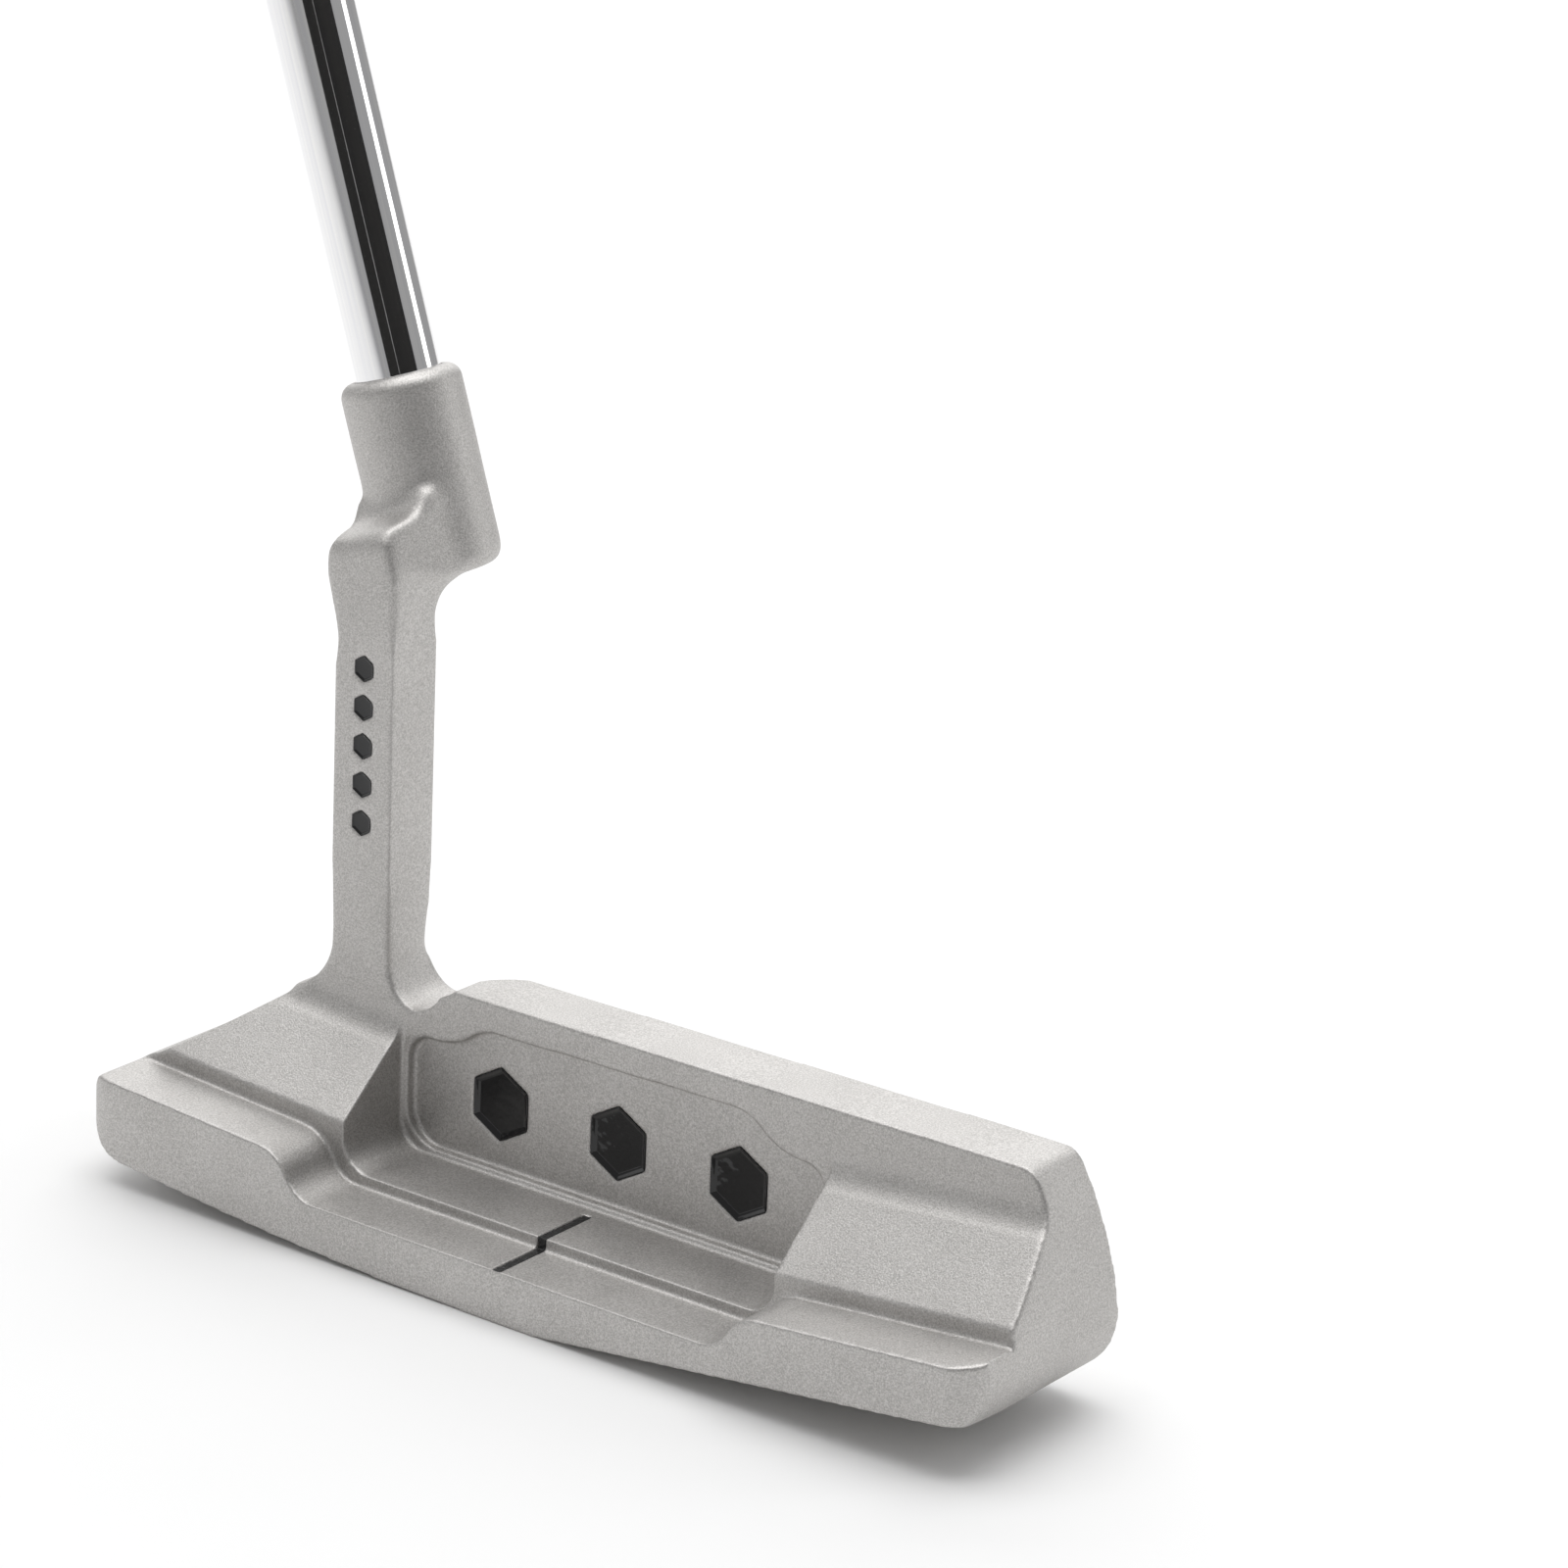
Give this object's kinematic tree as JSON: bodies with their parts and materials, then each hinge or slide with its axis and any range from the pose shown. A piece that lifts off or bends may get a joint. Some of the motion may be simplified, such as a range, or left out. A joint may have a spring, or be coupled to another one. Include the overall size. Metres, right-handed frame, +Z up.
{
  "type": "blade putter",
  "caption": "Heel-and-toe weighted blade putter with an offset neck, a tapered chrome shaft and a thick, lightly padded grip.",
  "frame": {"origin": "on the ground, on the flat land of the sole, in line with the middle of the back cavity", "axes": "+X from heel to toe, +Y along the target line, out of the striking face, +Z up; the shaft leans 19 degrees towards -X"},
  "size_m": [0.3661, 0.0474, 0.82],
  "materials": {
    "head_steel": "bead-blasted satin stainless steel",
    "black_paint": "glossy black paint fill",
    "epoxy": "cured glue, out of sight",
    "chrome_plate": "bright chrome plate",
    "white_skin": "white embossed polyurethane skin",
    "black_skin": "black embossed polyurethane skin",
    "foam": "moulded foam under the skin, out of sight",
    "tape": "double-sided grip tape, out of sight",
    "cap_rubber": "finely textured black rubber"
  },
  "bodies": {
    "root": {"putter_head": "head_steel", "hex_inlay_heel": "black_paint", "hex_inlay_centre": "black_paint", "hex_inlay_toe": "black_paint", "sight_line_fill": "black_paint", "neck_mark_fill": "black_paint", "hosel_epoxy": "epoxy", "shaft": "chrome_plate", "grip_skin": "white_skin", "grip_stripe_left": "black_skin", "grip_stripe_right": "black_skin", "grip_back_panel": "black_skin", "grip_core": "foam", "grip_tape": "tape", "grip_end_cap": "cap_rubber", "grip_mouth_ring": "cap_rubber"}
  },
  "joints": []
}
